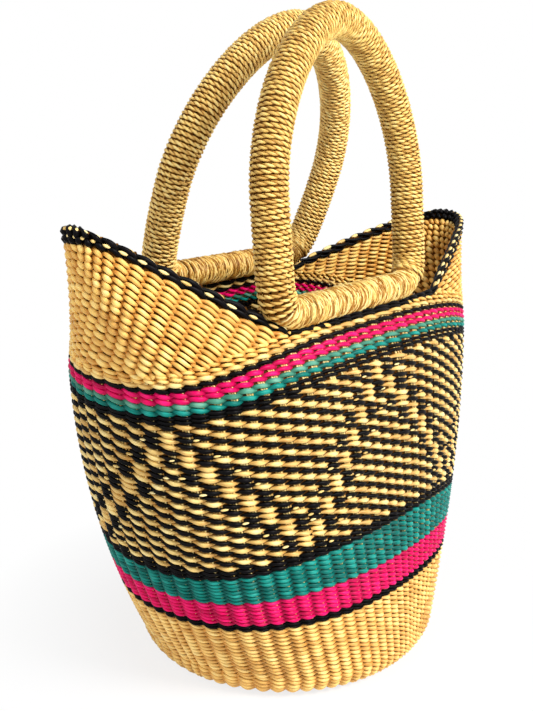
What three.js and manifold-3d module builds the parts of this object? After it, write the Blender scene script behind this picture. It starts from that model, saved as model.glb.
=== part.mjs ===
// A hand-woven straw shopping basket: a round base, a long boat-shaped mouth and two wrapped loop handles.
// Lengths are millimetres, +Z is up and the origin is at the middle of the underside.
// X runs along the mouth from the near tip (-X) to the far tip (+X); the front handle is on the -Y side.
import * as THREE from "three";
import { mergeVertices } from "three/addons/utils/BufferGeometryUtils.js";
import Module from "manifold-3d";

const wasm = await Module();
wasm.setup();

// Basket body
const base_half_length = 123.5;
const base_half_width = 107;
const corner_height = 19;
const corner_inset = 15;
const mouth_half_length = 191;
const mouth_half_width = 88;
const end_belly = 13.5;
const side_belly = 3.5;
const end_flare_share = 0.63;
const side_lean_share = 0.67;
const mouth_set_back = 22;
const set_back_return_share = 0.235;
const base_outline_power_share = 2;
const mouth_outline_power_share = 2.77;
const wall_thickness = 5;
const floor_thickness = 5;
const floor_edge_width = 14;
const rib_crest = 0.5;
const rib_valley = 1.9;
const corner_low_share = 0.3;
const piece_gap = 0.3;
const stake_count = 80;

// Colours from the underside up: the mean height of each
const base_height = 66.7;
const lower_pink_height = 22.7;
const lower_teal_height = 21.7;
const field_height = 119.5;
const upper_bands_height = 16.2;
const thin_line_height = 4.8;
const lower_border_height = 6.8;
const upper_border_height = 5.2;
const upper_teal_share = 0.41;
const upper_pink_share = 0.82;
const course_height = 3;
const wing_least_height = 2.5;

// Seams between the colours: mean height, how far both ends dip and how far the far end dips further
const base_top = { height: base_height, ends_dip: 3.4, far_dip: 2.5 };
const pink_top = { height: base_top.height + lower_pink_height, ends_dip: 5.9, far_dip: 5.5 };
const teal_top = { height: pink_top.height + lower_teal_height, ends_dip: 11.6, far_dip: 7.6 };
const field_top = { height: teal_top.height + field_height, ends_dip: 11.7, far_dip: 2.2 };
const bands_top = { height: field_top.height + upper_bands_height, ends_dip: 11.9, far_dip: 3.1 };

// Rim: level under each handle, on the last course, and rising to a tip at each end
const near_tip_rise = 63.4;
const far_tip_rise = 43.4;
const near_rise_start_share = 0.55;
const near_rise_power_share = 1.1;
const far_rise_start_share = 0.42;
const far_rise_power_share = 0.85;
const braid_side_height = 3.9;
const braid_end_height = 8.4;
const braid_growth_share = 0.3;
const braid_proud = 1;
const mouth_level_share = 0.272;

// Handles
const hoop_radius = 7.6;
const wrap_radius = 12;
const bar_half_length = 87;
const front_arch_half_width = 88.5;
const rear_arch_half_width = 96;
const shoulder_height = 70;
const arch_height = 176.5;
const arch_power_share = 1.8;
const bend_reach = 20;
const front_handle_x = -50;
const rear_handle_x = -17;
const handle_y = 60;
const front_lean = THREE.MathUtils.degToRad(8);
const rear_lean = THREE.MathUtils.degToRad(15.6);
const front_bar_bed = 2;
const rear_bar_bed = 0;

// Straw bound round each bar, and the lashings that hold each bar down on the rim
const binding_loops = 24;
const binding_half_length = 54;
const straw_radius = 0.9;
const binding_clearance = 0.3;
const lashing_width = 6;
const lashing_thickness = 2;
const lashing_clearance = 0.3;
const lashing_offset = 61;
const cut_overrun = 5;

// Counts of faces, and of the samples that share an outline into equal steps
const merge_share = 0.001;
const samples_per_stake = 12;
const outer_columns = stake_count * 2;
const row_columns = stake_count;
const inner_columns = stake_count / 2;
const hoop_sides = 8;
const wrap_sides = 10;
const bend_steps = 4;
const leg_steps = 4;
const crown_steps = 9;
const lashing_sides = 16;
const bed_sides = 24;
const loop_steps = 8;
const straw_sides = 4;

const straw = { color: 0xd9b36a, roughness: 0.62, metalness: 0 };
const warm_straw = { color: 0xdba54f, roughness: 0.6, metalness: 0 };
const handle_straw = { color: 0xd8b878, roughness: 0.58, metalness: 0 };
const core_straw = { color: 0xb8924e, roughness: 0.8, metalness: 0 };
const black_straw = { color: 0x1c141a, roughness: 0.5, metalness: 0 };
const pink_straw = { color: 0xdc1464, roughness: 0.55, metalness: 0 };
const teal_straw = { color: 0x0f8277, roughness: 0.55, metalness: 0 };
const field_straw = { color: 0x8a7148, roughness: 0.6, metalness: 0 };

// Heights that follow from the colours: where the wall turns to the mouth, and the rim at the sides
const mouth_level = field_top.height + mouth_level_share * upper_bands_height;
const rim_side_height = bands_top.height + bands_top.ends_dip + course_height + braid_side_height;

const clamp = (value) => Math.min(Math.max(value, 0), 1);
const mix = THREE.MathUtils.lerp;
const basket = new THREE.Group();

// The wall's outline at a height: an ellipse at the base that squares up towards the mouth
function outlinePower(height) {
  return mix(base_outline_power_share, mouth_outline_power_share, clamp(height / mouth_level));
}

function wallSize(height, inset) {
  const share = clamp((height - corner_height) / (mouth_level - corner_height));
  const belly = 4 * share * (1 - share);
  const above = Math.max(height - mouth_level, 0);
  const low = clamp((corner_height - height) / corner_height);
  const corner = corner_inset * (1 - Math.sqrt(1 - low * low));
  const x = mix(base_half_length, mouth_half_length, share) + end_belly * belly + end_flare_share * above;
  const y = mix(base_half_width, mouth_half_width, share) + side_belly * belly - side_lean_share * above;
  const middle = set_back_return_share * above - mouth_set_back * clamp(height / mouth_level);
  return { x: x - corner - inset, y: y - corner - inset, middle };
}

function wallPoint(angle, height, inset) {
  const size = wallSize(height, inset);
  const power = 2 / outlinePower(height);
  const along = Math.sign(Math.cos(angle)) * Math.abs(Math.cos(angle)) ** power;
  const across = Math.sign(Math.sin(angle)) * Math.abs(Math.sin(angle)) ** power;
  return new THREE.Vector3(size.middle + size.x * along, size.y * across, height);
}

// Angles that share the wall's middle outline into equal steps, one column of faces each
function evenAngles(count) {
  const samples = stake_count * samples_per_stake;
  const points = Array.from({ length: samples + 1 }, (_, i) =>
    wallPoint((i / samples) * 2 * Math.PI, (corner_height + mouth_level) / 2, 0));
  const lengths = [0];
  points.slice(1).forEach((point, i) => lengths.push(lengths[i] + point.distanceTo(points[i])));
  return Array.from({ length: count }, (_, i) => {
    const target = (lengths[samples] * i) / count;
    const next = Math.max(lengths.findIndex((length) => length > target), 1);
    const part = (target - lengths[next - 1]) / (lengths[next] - lengths[next - 1]);
    return ((next - 1 + part) / samples) * 2 * Math.PI;
  });
}
const angles = evenAngles(outer_columns);

// Heights of the seams and of the rim round the basket
const seam = (line) => (angle) =>
  line.height - line.ends_dip * Math.cos(2 * angle) - line.far_dip * Math.cos(angle);
const lifted = (line, height) => (angle) => line(angle) + height;
const between = (low, high, share) => (angle) => mix(low(angle), high(angle), share);

// Share of the way from where the rim starts to rise to the tip of its end
function wayToTip(angle) {
  const reach = Math.abs(Math.cos(angle)) ** (2 / mouth_outline_power_share);
  const start = Math.cos(angle) > 0 ? far_rise_start_share : near_rise_start_share;
  return clamp((reach - start) / (1 - start));
}

function rimHeight(angle) {
  const far = Math.cos(angle) > 0;
  const rise = wayToTip(angle) ** (far ? far_rise_power_share : near_rise_power_share);
  return rim_side_height + (far ? far_tip_rise : near_tip_rise) * rise;
}

// The braid is pressed flat under the bars and stands to its full height at the raised ends
function braidHeight(angle) {
  return mix(braid_side_height, braid_end_height, clamp(wayToTip(angle) / braid_growth_share));
}
const braidFoot = (angle) => rimHeight(angle) - braidHeight(angle);
const braidMiddle = (angle) => rimHeight(angle) - braidHeight(angle) / 2;
const wingFoot = lifted(seam(bands_top), course_height);

// Triangles between two rings of points, with a whole number of the finer ring's steps to each coarse one
function bridge(triangles, fine, coarse, flip) {
  const ratio = Math.round((fine.length - 1) / (coarse.length - 1));
  const add = (a, b, c) => triangles.push(...(flip ? [a, c, b] : [a, b, c]));
  for (let j = 0; j < coarse.length - 1; j++) {
    const turn = Math.ceil(ratio / 2);
    for (let k = 0; k < ratio; k++) {
      add(fine[j * ratio + k], fine[j * ratio + k + 1], coarse[k < turn ? j : j + 1]);
      if (k === turn - 1) add(fine[j * ratio + turn], coarse[j + 1], coarse[j]);
    }
  }
}

function solidFrom(positions, triangles) {
  const geometry = new THREE.BufferGeometry();
  geometry.setAttribute("position", new THREE.Float32BufferAttribute(positions, 3));
  geometry.setIndex(triangles);
  return geometry;
}

// Each stake pushes the straw out into a rib, with a valley to the next one
const ribInset = (column) => (column % 2 ? rib_valley : -rib_crest);

// A length of woven wall between two seams: columns first to last, ribbed over the stakes when asked
function wallPiece(foot, top, options = {}) {
  const { columns = outer_columns, first = 0, last = outer_columns, steps = 1 } = options;
  const { ribbed = true, proud = 0, thickness = wall_thickness } = options;
  const closed = last - first === outer_columns;
  const positions = [];
  const ring = (stride, share, inset) => {
    const indices = [];
    for (let i = first; i <= last; i += stride) {
      if (closed && i === last) {
        indices.push(indices[0]);
        continue;
      }
      const column = i % outer_columns;
      const angle = angles[column];
      const height = mix(foot(angle, column) + piece_gap / 2, top(angle, column) - piece_gap / 2, share);
      const rib = ribbed && stride < outer_columns / inner_columns ? ribInset(column) : 0;
      positions.push(...wallPoint(angle, height, inset + rib).toArray());
      indices.push(positions.length / 3 - 1);
    }
    return indices;
  };
  const outer_stride = outer_columns / columns;
  const inner_stride = outer_columns / inner_columns;
  const rings = (stride, inset) =>
    Array.from({ length: steps + 1 }, (_, s) => ring(stride, s / steps, inset));
  const outer = rings(outer_stride, -proud);
  const inner = rings(inner_stride, thickness + rib_crest);
  const triangles = [];
  for (let s = 0; s < steps; s++) {
    bridge(triangles, outer[s], outer[s + 1], false);
    bridge(triangles, inner[s], inner[s + 1], true);
  }
  bridge(triangles, outer[steps], inner[steps], false);
  bridge(triangles, outer[0], inner[0], true);
  if (!closed) {
    for (let s = 0; s < steps; s++) {
      const corners = [outer[s], outer[s + 1], inner[s + 1], inner[s]];
      const [a, b, c, d] = corners.map((row) => row[0]);
      triangles.push(a, b, c, a, c, d);
      const [e, f, g, h] = corners.map((row) => row.at(-1));
      triangles.push(e, g, f, e, h, g);
    }
  }
  return solidFrom(positions, triangles);
}

// The base wall: a flat foot ring, a rounded corner and the first courses, one ring of points after another
function baseWall(top) {
  const positions = [];
  const ring = (stride, height, inset, ribbed) => {
    const indices = [];
    for (let i = 0; i < outer_columns; i += stride) {
      const level = typeof height === "function" ? height(angles[i]) - piece_gap / 2 : height;
      positions.push(...wallPoint(angles[i], level, inset + (ribbed ? ribInset(i) : 0)).toArray());
      indices.push(positions.length / 3 - 1);
    }
    return [...indices, indices[0]];
  };
  const fine = outer_columns / row_columns;
  const coarse = outer_columns / inner_columns;
  const inside = wall_thickness + rib_crest;
  const rings = [
    ring(coarse, 0, floor_edge_width),
    ring(fine, 0, 0),
    ring(1, corner_height * corner_low_share, 0, true),
    ring(1, corner_height, 0, true),
    ring(1, top, 0, true),
    ring(coarse, top, inside),
    ring(coarse, corner_height, inside),
    ring(coarse, floor_thickness, inside),
    ring(coarse, floor_thickness, floor_edge_width),
  ];
  const triangles = [];
  rings.forEach((row, i) => {
    const next = rings[(i + 1) % rings.length];
    if (next.length > row.length) bridge(triangles, next, row, true);
    else bridge(triangles, row, next, false);
  });
  return solidFrom(positions, triangles);
}

function addMesh(parent, name, geometry, finish) {
  const material = new THREE.MeshStandardMaterial({ ...finish, flatShading: true });
  const mesh = new THREE.Mesh(geometry, material);
  mesh.name = name;
  parent.add(mesh);
  return mesh;
}

// Joins and cuts of closed meshes
function toSolid(geometry) {
  const plain = geometry.clone();
  plain.deleteAttribute("normal");
  plain.deleteAttribute("uv");
  const merged = mergeVertices(plain, piece_gap * merge_share);
  return new wasm.Manifold(new wasm.Mesh({
    numProp: 3,
    vertProperties: new Float32Array(merged.attributes.position.array),
    triVerts: new Uint32Array(merged.index.array),
  }));
}

function cut(geometry, tools) {
  const solid = tools.reduce((left, tool) => left.subtract(toSolid(tool)), toSolid(geometry));
  const result = solid.getMesh();
  return solidFrom(Array.from(result.vertProperties), Array.from(result.triVerts));
}

// Handle shape in its own plane: x along the bar, z up the loop, origin at the middle of the bar
function legOffset(half_width, height) {
  if (height < shoulder_height) {
    const below = (shoulder_height - height) / shoulder_height;
    return half_width - (half_width - bar_half_length) * below * below;
  }
  const above = clamp((height - shoulder_height) / (arch_height - shoulder_height));
  return half_width * (1 - above ** arch_power_share) ** (1 / arch_power_share);
}

// A tube's route given by its own points, so that pieces on one route keep the same bends
class PointPath extends THREE.Curve {
  constructor(points) {
    super();
    this.points = points;
    this.tangents = points.map((_, i) => new THREE.Vector3()
      .subVectors(points[Math.min(i + 1, points.length - 1)], points[Math.max(i - 1, 0)])
      .normalize());
  }

  part(first, last) {
    const path = new PointPath(this.points.slice(first, last + 1));
    path.tangents = this.tangents.slice(first, last + 1);
    return path;
  }

  getSpacedPoints() {
    return this.points;
  }

  getTangentAt(u) {
    return this.tangents[Math.round(u * (this.points.length - 1))].clone();
  }
}

// The hoop starts and ends at the middle of the bar, where the straw bound round it hides the butt joint
function hoopPath(half_width) {
  const at = (x, z) => new THREE.Vector3(x, 0, z);
  const bar_end = bar_half_length - bend_reach;
  const bend = new THREE.QuadraticBezierCurve3(
    at(bar_end, 0), at(bar_half_length, 0), at(legOffset(half_width, bend_reach), bend_reach));
  const half = [at(piece_gap / 2, 0), ...bend.getPoints(bend_steps)];
  for (let i = 1; i <= leg_steps; i++) {
    const height = mix(bend_reach, shoulder_height, i / leg_steps);
    half.push(at(legOffset(half_width, height), height));
  }
  for (let i = 1; i < crown_steps; i++) {
    const height = mix(shoulder_height, arch_height, Math.sin((i / crown_steps) * (Math.PI / 2)));
    half.push(at(legOffset(half_width, height), height));
  }
  const mirrored = half.slice().reverse().map((point) => at(-point.x, point.z));
  return new PointPath([...half, at(0, arch_height), ...mirrored]);
}

function roundShape(radius, sides, Kind = THREE.Shape) {
  const corners = Array.from({ length: sides }, (_, i) => {
    const turn = ((i + 0.5) / sides) * 2 * Math.PI;
    return new THREE.Vector2(radius * Math.cos(turn), radius * Math.sin(turn));
  });
  return new Kind(corners);
}

function alongPath(shape, path) {
  const steps = path.points.length - 1;
  const options = { extrudePath: path, steps, curveSegments: 1, bevelEnabled: false };
  return new THREE.ExtrudeGeometry(shape, options);
}

// One unbroken straw wound round the bar; both its ends run straight on for one diameter
const coil_radius = (hoop_radius + binding_clearance + straw_radius) / Math.cos(Math.PI / loop_steps);
const coil_reach = coil_radius + straw_radius;

function bindingPath() {
  const steps = binding_loops * loop_steps;
  const coil = Array.from({ length: steps + 1 }, (_, i) => {
    const turn = (i / loop_steps) * 2 * Math.PI;
    const along = mix(-binding_half_length, binding_half_length, i / steps);
    return new THREE.Vector3(along, coil_radius * Math.sin(turn), coil_radius * Math.cos(turn));
  });
  const onward = (from, to) => {
    const step = new THREE.Vector3().subVectors(to, from).setLength(2 * straw_radius);
    return to.clone().add(step);
  };
  const points = [onward(coil[1], coil[0]), ...coil, onward(coil[steps - 1], coil[steps])];
  let least = Infinity;
  for (let i = 0; i < points.length - 1; i++) {
    const here = new THREE.Line3(points[i], points[i + 1]);
    for (let j = i + loop_steps - 1; j < points.length; j++) {
      const nearest = here.closestPointToPoint(points[j], true, new THREE.Vector3());
      least = Math.min(least, nearest.distanceTo(points[j]) - 2 * straw_radius);
    }
  }
  console.log("least gap of the bound straw to itself, mm:", least.toFixed(2));
  return new PointPath(points);
}

// Outline of a lashing in the plane across the bar: a taut loop round the bar and the braid under it
function tautOutline(bar, braid, grow) {
  const points = [];
  for (let i = 0; i < lashing_sides; i++) {
    const turn = (i / lashing_sides) * 2 * Math.PI;
    const radius = (hoop_radius + lashing_clearance + grow) / Math.cos(Math.PI / lashing_sides);
    points.push(new THREE.Vector2(bar.x + radius * Math.cos(turn), bar.y + radius * Math.sin(turn)));
  }
  for (const corner of braid) {
    for (const [x, y] of [[-grow, -grow], [-grow, grow], [grow, -grow], [grow, grow]]) {
      points.push(new THREE.Vector2(corner.x + x, corner.y + y));
    }
  }
  points.sort((a, b) => a.x - b.x || a.y - b.y);
  const half = (list) => list.reduce((hull, point) => {
    while (hull.length > 1) {
      const [a, b] = hull.slice(-2);
      if ((b.x - a.x) * (point.y - a.y) - (b.y - a.y) * (point.x - a.x) > 0) break;
      hull.pop();
    }
    return [...hull, point];
  }, []);
  return [...half(points).slice(0, -1), ...half(points.slice().reverse()).slice(0, -1)];
}

// Where a wall at a given x stands: the angle of that place, on the front (-Y) or the rear (+Y) side
function angleAt(x, height, side) {
  const size = wallSize(height, 0);
  const reach = (x - size.middle) / size.x;
  const along = Math.sign(reach) * Math.abs(reach) ** (outlinePower(height) / 2);
  return side * Math.acos(along);
}

function lashing(handle, end) {
  const x = handle.x + end * lashing_offset;
  const middle_angle = angleAt(x, rim_side_height, handle.side);
  const pass = braidFoot(middle_angle);
  const braid_depth = wall_thickness + braid_proud + rib_crest;
  const insets = [-braid_proud - lashing_clearance, braid_depth + lashing_clearance];
  const braid = [];
  for (const edge of [x - lashing_width / 2, x + lashing_width / 2]) {
    for (const height of [pass + lashing_thickness / 2, rimHeight(middle_angle) + lashing_clearance]) {
      const angle = angleAt(edge, height, handle.side);
      for (const inset of insets) braid.push(new THREE.Vector2(wallPoint(angle, height, inset).y, height));
    }
  }
  const bar = new THREE.Vector2(handle.y, handle.z);
  const shape = new THREE.Shape(tautOutline(bar, braid, lashing_thickness));
  shape.holes.push(new THREE.Path(tautOutline(bar, braid, 0)));
  const geometry = new THREE.ExtrudeGeometry(shape, { depth: lashing_width, bevelEnabled: false });
  geometry.translate(0, 0, -lashing_width / 2);
  const [unit_x, unit_y, unit_z] = [0, 1, 2].map((axis) => new THREE.Vector3().setComponent(axis, 1));
  geometry.applyMatrix4(new THREE.Matrix4().makeBasis(unit_y, unit_z, unit_x));
  geometry.translate(x, 0, 0);
  const slot = new THREE.BoxGeometry(
    lashing_width + 2 * lashing_clearance,
    2 * (wall_thickness + cut_overrun),
    lashing_thickness + 2 * lashing_clearance);
  slot.translate(x, wallPoint(middle_angle, pass, wall_thickness / 2).y, pass);
  return { geometry, slot };
}

// Basket body, from the floor up
const line_foot = seam(base_top);
const line_top = lifted(line_foot, thin_line_height);
const lower_border_top = lifted(seam(teal_top), lower_border_height);
const upper_border_foot = lifted(seam(field_top), -upper_border_height);
const upper_teal_top = between(seam(field_top), seam(bands_top), upper_teal_share);
const upper_pink_top = between(seam(field_top), seam(bands_top), upper_pink_share);

const floor_angles = angles.filter((_, i) => i % (outer_columns / inner_columns) === 0);
const floor_points = floor_angles.map((angle) => {
  const point = wallPoint(angle, 0, floor_edge_width + piece_gap);
  return new THREE.Vector2(point.x, point.y);
});
const floor_geometry = new THREE.ExtrudeGeometry(
  new THREE.Shape(floor_points), { depth: floor_thickness, bevelEnabled: false });
addMesh(basket, "base_floor", floor_geometry, straw);
addMesh(basket, "base_wall", baseWall(line_foot), straw);

const row = { columns: row_columns, ribbed: false, proud: rib_crest };
addMesh(basket, "lower_black_line", wallPiece(line_foot, line_top, row), black_straw);
addMesh(basket, "lower_pink_band", wallPiece(line_top, seam(pink_top)), pink_straw);
addMesh(basket, "lower_teal_band", wallPiece(seam(pink_top), seam(teal_top)), teal_straw);
addMesh(basket, "lower_black_border", wallPiece(seam(teal_top), lower_border_top), black_straw);
const field = wallPiece(lower_border_top, upper_border_foot, { steps: 2 });
addMesh(basket, "pattern_field", field, field_straw);
addMesh(basket, "upper_black_border", wallPiece(upper_border_foot, seam(field_top)), black_straw);
addMesh(basket, "upper_teal_band", wallPiece(seam(field_top), upper_teal_top), teal_straw);
addMesh(basket, "upper_pink_band", wallPiece(upper_teal_top, upper_pink_top), pink_straw);
addMesh(basket, "upper_black_line", wallPiece(upper_pink_top, seam(bands_top), row), black_straw);

// The raised ends: each wing starts where there is room for it between the last course and the braid
function wingReach(middle) {
  const stride = outer_columns / inner_columns;
  let reach = 0;
  const room = (offset) => {
    const angle = angles[(middle - offset + outer_columns) % outer_columns];
    return braidFoot(angle) - wingFoot(angle);
  };
  while (room(reach + stride) > wing_least_height) reach += stride;
  return reach;
}
const near_middle = outer_columns / 2;
const near_reach = wingReach(near_middle);
const far_reach = wingReach(outer_columns);
const courseTop = (angle, column) => {
  const from_near = Math.abs(column - near_middle);
  const from_far = Math.min(column, outer_columns - column);
  return from_near <= near_reach || from_far <= far_reach ? wingFoot(angle) : braidFoot(angle);
};
const near_range = { first: near_middle - near_reach, last: near_middle + near_reach };
const far_range = { first: outer_columns - far_reach, last: outer_columns + far_reach };
addMesh(basket, "near_wing", wallPiece(wingFoot, braidFoot, near_range), warm_straw);
addMesh(basket, "far_wing", wallPiece(wingFoot, braidFoot, far_range), warm_straw);

// Handles, hinged where the lashings hold the bars down on the rim
const front = { name: "front", side: -1, x: front_handle_x, lean: front_lean, bed: front_bar_bed };
const rear = { name: "rear", side: 1, x: rear_handle_x, lean: rear_lean, bed: rear_bar_bed };
front.arch = front_arch_half_width;
rear.arch = rear_arch_half_width;
const slots = [];
const beds = [];
for (const handle of [front, rear]) {
  handle.y = handle.side * handle_y;
  handle.z = rim_side_height + coil_reach + piece_gap - handle.bed;
  for (const [end_name, end] of [["near", -1], ["far", 1]]) {
    const { geometry, slot } = lashing(handle, end);
    addMesh(basket, `${handle.name}_lashing_${end_name}`, geometry, handle_straw);
    slots.push(slot);
  }
  const bed = new THREE.CylinderGeometry(
    coil_reach + piece_gap, coil_reach + piece_gap, 2 * (binding_half_length + coil_reach), bed_sides);
  bed.rotateZ(Math.PI / 2);
  bed.translate(handle.x, handle.y, handle.z);
  beds.push(bed);

  const group = new THREE.Group();
  group.position.set(handle.x, handle.y, handle.z);
  group.rotation.x = handle.side * handle.lean;
  basket.add(group);
  const hoop = hoopPath(handle.arch);
  const wrap_start = 1 + Math.ceil(bend_steps / 2);
  const wrap_shape = roundShape(wrap_radius, wrap_sides);
  wrap_shape.holes.push(roundShape(hoop_radius + piece_gap, hoop_sides, THREE.Path));
  const wrap_path = hoop.part(wrap_start, hoop.points.length - 1 - wrap_start);
  addMesh(group, `${handle.name}_hoop`, alongPath(roundShape(hoop_radius, hoop_sides), hoop), core_straw);
  addMesh(group, `${handle.name}_arch_wrap`, alongPath(wrap_shape, wrap_path), handle_straw);
  const binding = alongPath(roundShape(straw_radius, straw_sides), bindingPath());
  addMesh(group, `${handle.name}_bar_binding`, binding, handle_straw);
}

// The last course and the two rows of the braid, notched for the lashings and pressed down under the bars
const braid_thickness = wall_thickness + braid_proud;
const braid = { columns: row_columns, ribbed: false, proud: braid_proud, thickness: braid_thickness };
const course = wallPiece(seam(bands_top), courseTop, row);
addMesh(basket, "natural_course", cut(course, slots), straw);
addMesh(basket, "rim_lower_braid", cut(wallPiece(braidFoot, braidMiddle, braid), slots), black_straw);
addMesh(basket, "rim_upper_braid", cut(wallPiece(braidMiddle, rimHeight, braid), beds), black_straw);

export default basket;
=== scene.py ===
import math

import bpy
import numpy as np
from mathutils import Matrix, Vector


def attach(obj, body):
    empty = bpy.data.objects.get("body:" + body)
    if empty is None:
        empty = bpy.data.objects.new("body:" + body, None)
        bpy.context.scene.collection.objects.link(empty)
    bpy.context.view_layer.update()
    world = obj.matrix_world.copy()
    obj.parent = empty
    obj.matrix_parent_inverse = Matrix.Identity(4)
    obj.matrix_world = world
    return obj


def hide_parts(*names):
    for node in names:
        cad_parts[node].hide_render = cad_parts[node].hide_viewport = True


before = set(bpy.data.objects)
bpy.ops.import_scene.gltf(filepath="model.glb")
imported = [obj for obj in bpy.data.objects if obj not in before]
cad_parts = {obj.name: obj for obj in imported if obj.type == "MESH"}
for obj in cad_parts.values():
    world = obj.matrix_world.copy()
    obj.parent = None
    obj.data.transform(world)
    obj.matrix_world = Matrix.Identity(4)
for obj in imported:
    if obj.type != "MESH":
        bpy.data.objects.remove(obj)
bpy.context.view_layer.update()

# Basket body, as in the model
base_half_length = 0.1235
base_half_width = 0.107
corner_height = 0.019
corner_inset = 0.015
base_rest_height = 0.003
mouth_half_length = 0.191
mouth_half_width = 0.088
end_belly = 0.0135
side_belly = 0.0035
end_flare_share = 0.63
side_lean_share = 0.67
mouth_set_back = 0.022
set_back_return_share = 0.235
base_outline_power = 2
mouth_outline_power = 2.77
stake_count = 80

# Colours from the underside up: the mean height of each
base_height = 0.0667
lower_pink_height = 0.0227
lower_teal_height = 0.0217
field_height = 0.1195
upper_bands_height = 0.0162
thin_line_height = 0.0048
lower_border_height = 0.0068
upper_border_height = 0.0052
upper_teal_share = 0.41
upper_pink_share = 0.82
course_height = 0.003

# Courses of twined straw in each colour
base_rows = 21
thin_line_rows = 2
lower_pink_rows = 6
lower_teal_rows = 7
border_rows = 2
field_rows = 26
upper_band_rows = 2

# Rim
near_tip_rise = 0.0634
far_tip_rise = 0.0434
near_rise_start_share = 0.55
near_rise_power = 1.1
far_rise_start_share = 0.42
far_rise_power = 0.85
braid_side_height = 0.0039
braid_end_height = 0.0084
braid_growth_share = 0.3
mouth_level_share = 0.272

# Handles
wrap_radius = 0.012
bar_half_length = 0.087
front_arch_half_width = 0.0885
rear_arch_half_width = 0.096
shoulder_height = 0.070
arch_height = 0.1765
arch_power = 1.8
bend_reach = 0.020
front_handle_x = -0.050
rear_handle_x = -0.017
handle_y = 0.060
front_lean = math.radians(8)
rear_lean = math.radians(15.6)
front_bar_bed = 0.002
rear_bar_bed = 0
coil_reach = 0.010425
piece_gap = 0.0003
lashing_offset = 0.061
lashing_width = 0.006

# Seams between the colours: mean height, how far both ends dip and how far the far end dips further
base_top = {"height": base_height, "ends_dip": 0.0034, "far_dip": 0.0025}
pink_top = {"height": base_top["height"] + lower_pink_height, "ends_dip": 0.0059, "far_dip": 0.0055}
teal_top = {"height": pink_top["height"] + lower_teal_height, "ends_dip": 0.0116, "far_dip": 0.0076}
field_top = {"height": teal_top["height"] + field_height, "ends_dip": 0.0117, "far_dip": 0.0022}
bands_top = {"height": field_top["height"] + upper_bands_height, "ends_dip": 0.0119, "far_dip": 0.0031}
mouth_level = field_top["height"] + mouth_level_share * upper_bands_height
rim_side_height = bands_top["height"] + bands_top["ends_dip"] + course_height + braid_side_height

# Straw of the wall: a strand is widest where it floats over a stake and narrow where it crosses its
# partner. Half and rise shares are of a course's height, and fullness widens or narrows a band's strands
base_fullness = 0.9
upper_fullness = 1.08
stake_step = 0.0117
middle_inset = 0.0027
float_reach = 0.0018
float_half_share = 0.445
crossing_half_share = 0.36
crossing_rise_share = 0.26
crossing_thickness_share = 0.8
# Painted shade: a strand's tone falls to this share where it sinks behind its partner at a crossing
crossing_shade_share = 0.1
strand_half_thickness = 0.00145
push_power = 0.95
width_power = 0.85
push_lead = 0.3
stitch_half_length = 0.63
stitch_tone_spread = 0.28
stitch_width_spread = 0.1
stitch_lift_spread = 0.05
course_drift_share = 0.05
course_waves = 11
steps_per_stake = 8
strand_sides = 6
rows_per_piece = 13
wall_strands = 2
outline_samples = 9601
place_step = 0.02
level_step = 0.0005
random_seed = 80

# Field: thinner straw, and stripes that shift on lines that run down both ways from these stakes, so many
# courses to a stake
field_float_half_share = 0.41
field_crossing_half_share = 0.26
field_width_power = 1.1
peak_stakes = (43, 58, 74, 10, 26)
peak_rows_per_stake = 3
tuft_rows = 3
tuft_shift = 0.55
tuft_half_length = 0.2
tuft_half_width = 0.0006
tuft_half_depth = 0.0011
tuft_proud = 0.0024

# Raised ends: coarse courses hang from the braid, each with its stitches a little further round than those
# of the one above, and a few fine courses lie along the foot
wing_pitch = 0.0046
wing_room_share = -0.3
wing_stitches_per_stake = 1.18
wing_stitch_shift = 0.36
wing_foot_pitch = 0.0026
wing_foot_rows = 2
wing_push_power = 0.6
wing_width_power = 0.8
wing_float_half_share = 0.475
wing_crossing_half_share = 0.32
wing_crossing_rise_share = 0.33

# Stakes: flat straws behind the stitches all round, dark as painted shade, and on each stake three pale
# ones
stake_straws = 3
flat_straw_half_width = 0.0028
flat_straw_half_depth = 0.0005
pale_straw_spacing = 0.15
pale_straw_half_width = 0.0008
pale_straw_half_depth = 0.0013
stake_levels = 60
stake_sides = 4
stake_side_inset = 0.006
stake_wing_inset = 0.001
stake_tones = (0.1, 0.9)
middle_tone = 0.5

# Rim braid, and the stake ends that are folded over its top and tucked in between its courses: half lengths
# are counted in stakes
braid_side_bulk = 0.9
braid_bulk = 1.2
braid_fullness = 1.3
braid_least_pitch = 0.003
braid_lower_share = 0.27
braid_upper_share = 0.75
folded_end_half_length = 0.27
folded_end_half_width = 0.0012
folded_end_half_depth = 0.0016
folded_end_drop = 0.0006
folded_end_proud = 0.0014
tucked_end_half_length = 0.25
tucked_end_half_width = 0.001
tucked_end_half_depth = 0.0012
tucked_end_proud = 0.0018
short_straw_steps = 7
short_straw_taper_share = 0.95
short_straw_lengths = (0.85, 1.15)
short_straw_tones = (0.2, 1)

# Floor
floor_pitch = 0.0039
floor_fullness = 1.2
floor_halving_shares = (0.72, 0.36, 0.18)
floor_stake_half_width = 0.0058

# Handle straw
arch_strands = 3
arch_stakes = 12
arch_stitches_per_turn = 13.3
arch_steps_per_stitch = 5
arch_wander = 0.9
arch_wander_turns = 3.7
arch_pitch = 0.0031
arch_float_reach = 0.0008
arch_strand_half_thickness = 0.0009
arch_float_half_share = 0.31
arch_crossing_half_share = 0.15
arch_crossing_rise_share = 0.27
arch_stake_half_width = 0.0029
arch_stake_half_depth = 0.0008
arch_stake_step = 0.004
wrap_start_rise = 0.0054
binding_end_rise = 0.0064
frame_step = 0.001
bar_steps = 40
bend_steps = 24
leg_steps = 30
crown_steps = 90

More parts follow.
